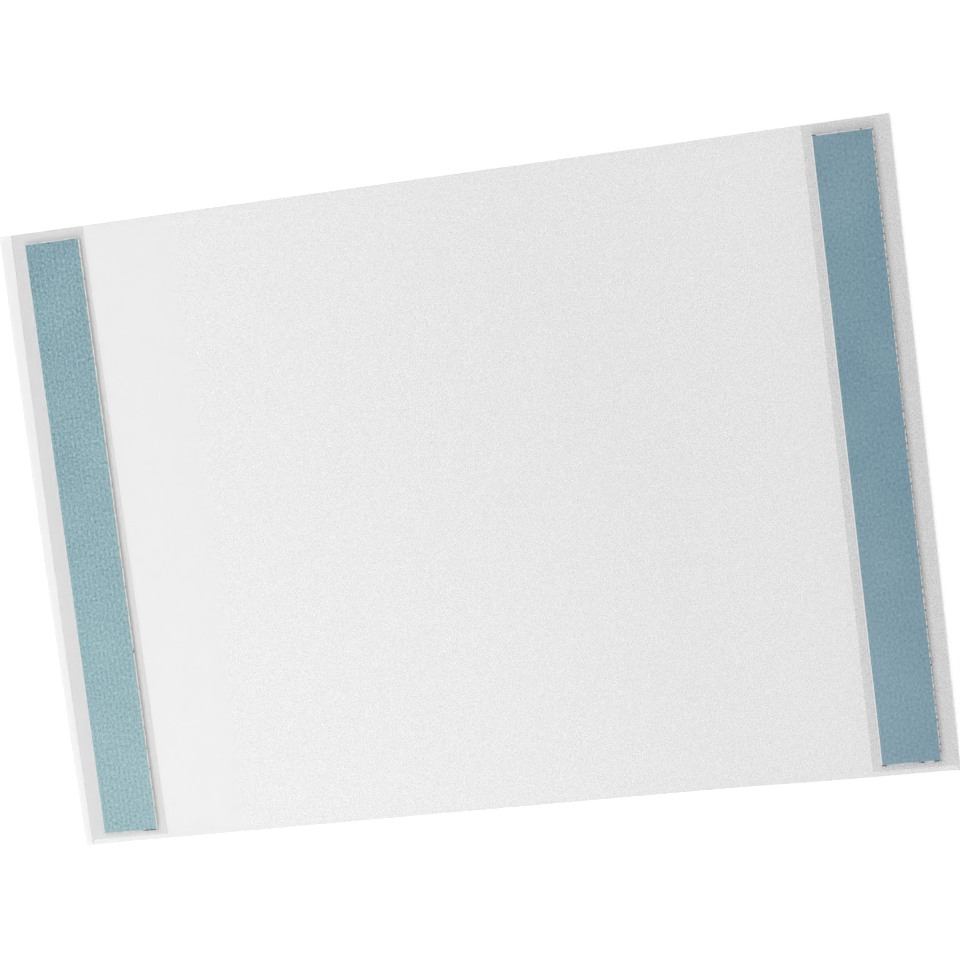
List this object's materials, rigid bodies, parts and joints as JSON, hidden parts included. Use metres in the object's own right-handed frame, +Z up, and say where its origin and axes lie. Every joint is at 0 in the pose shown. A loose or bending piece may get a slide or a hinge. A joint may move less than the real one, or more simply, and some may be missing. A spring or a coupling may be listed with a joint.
{
  "type": "self-adhesive display pocket",
  "caption": "Landscape display pocket of matt translucent film, its short ends folded back into hinged flaps with foam tape strips under blue peel-off liners.",
  "frame": {"origin": "on the table under the middle of the pocket, which lies on its display side", "axes": "+X along the long side towards the right flap, +Y across the pocket towards the end where the liners stay held, +Z up out of the adhesive side"},
  "size_m": [0.3086, 0.219, 0.005],
  "materials": {
    "front_film": "translucent film with a fine matt emboss",
    "left_flap_film": "translucent film with a fine matt emboss",
    "right_flap_film": "translucent film with a fine matt emboss",
    "left_tape_adhesive": "tacky acrylic coat, slightly glossy",
    "right_tape_adhesive": "tacky acrylic coat, slightly glossy",
    "left_tape_foam": "closed-cell white foam",
    "right_tape_foam": "closed-cell white foam",
    "left_liner_paper": "blue siliconised paper with fine lengthwise ribs",
    "right_liner_paper": "blue siliconised paper with fine lengthwise ribs"
  },
  "bodies": {
    "pocket": {"front_panel": "front_film", "left_crease": "front_film", "right_crease": "front_film"},
    "left_fold": {"left_flap": "left_flap_film", "left_bond_adhesive": "left_tape_adhesive", "left_foam_carrier": "left_tape_foam", "left_wall_adhesive": "left_tape_adhesive"},
    "right_fold": {"right_flap": "right_flap_film", "right_bond_adhesive": "right_tape_adhesive", "right_foam_carrier": "right_tape_foam", "right_wall_adhesive": "right_tape_adhesive"},
    "left_liner": {"left_release_liner": "left_liner_paper"},
    "right_liner": {"right_release_liner": "right_liner_paper"}
  },
  "joints": [
    {"name": "left_flap_fold", "type": "hinge", "parent": "pocket", "child": "left_fold", "pos_m": [-0.1543, 0, 0.00185], "axis": [0, -1, 0], "range_deg": [-1.5, 150], "stiffness_Nm_per_rad": 0.06},
    {"name": "right_flap_fold", "type": "hinge", "parent": "pocket", "child": "right_fold", "pos_m": [0.1543, 0, 0.00365], "axis": [0, 1, 0], "range_deg": [-1.5, 150], "stiffness_Nm_per_rad": 0.06},
    {"name": "left_liner_peel", "type": "hinge", "parent": "left_fold", "child": "left_liner", "pos_m": [-0.1354, 0.1052, 0.00322], "axis": [-1, 0, 0], "range_deg": [0, 110]},
    {"name": "right_liner_peel", "type": "hinge", "parent": "right_fold", "child": "right_liner", "pos_m": [0.1382, 0.1052, 0.00502], "axis": [-1, 0, 0], "range_deg": [0, 110]}
  ]
}
